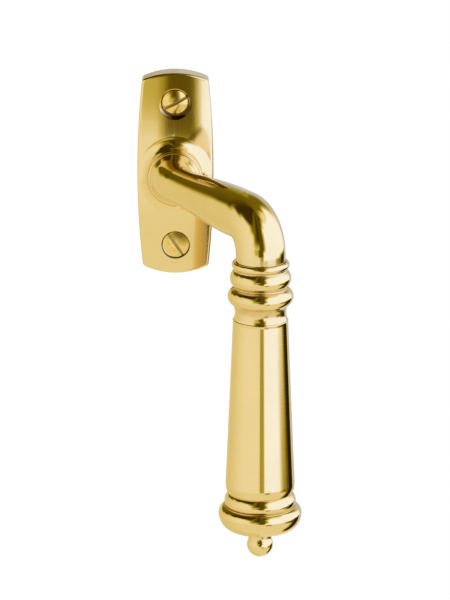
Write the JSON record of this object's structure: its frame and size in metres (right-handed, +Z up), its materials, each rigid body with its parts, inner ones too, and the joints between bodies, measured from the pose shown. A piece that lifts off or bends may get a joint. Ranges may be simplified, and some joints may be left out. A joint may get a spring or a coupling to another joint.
{
  "type": "window handle",
  "caption": "Cranked lever handle for a window bolt: turned barrel grip with beaded ferrule, bell end and ball finial, on a curved arm over a bowed, domed backplate with slotted screws.",
  "frame": {"origin": "where the spindle's axis meets the wall face of the backplate", "axes": "+Y into the window frame, along the spindle and the fixing screws; -Y towards the room; +Z up; +X the side that the arm is cranked to"},
  "size_m": [0.0485, 0.1103, 0.13],
  "materials": {
    "satin_brass": "satin, lacquered",
    "polished_brass": "polished",
    "screw_brass": "turned, half bright",
    "steel": "zinc plated",
    "spring_steel": "oiled, blued",
    "nylon": "moulded"
  },
  "bodies": {
    "plate": {"backplate": "satin_brass", "back_cover": "steel", "cover_rivets": "steel", "upper_fixing_screw": "screw_brass", "lower_fixing_screw": "screw_brass", "bearing_bush": "nylon", "thrust_washer": "steel", "left_detent_spring": "spring_steel", "right_detent_spring": "spring_steel"},
    "lever": {"neck": "satin_brass", "spring_washer": "spring_steel", "circlip": "spring_steel", "detent_cam": "steel", "spindle": "steel", "spindle_pin": "steel", "ferrule": "polished_brass", "grip": "polished_brass", "end_cap": "polished_brass", "finial": "polished_brass", "tie_rod": "steel"}
  },
  "joints": [
    {"name": "handle_turn", "type": "hinge", "parent": "plate", "child": "lever", "pos_m": [0, 0, 0], "axis": [0, -1, 0], "range_deg": [0, 90], "deforming": ["left_detent_spring", "right_detent_spring"]}
  ]
}
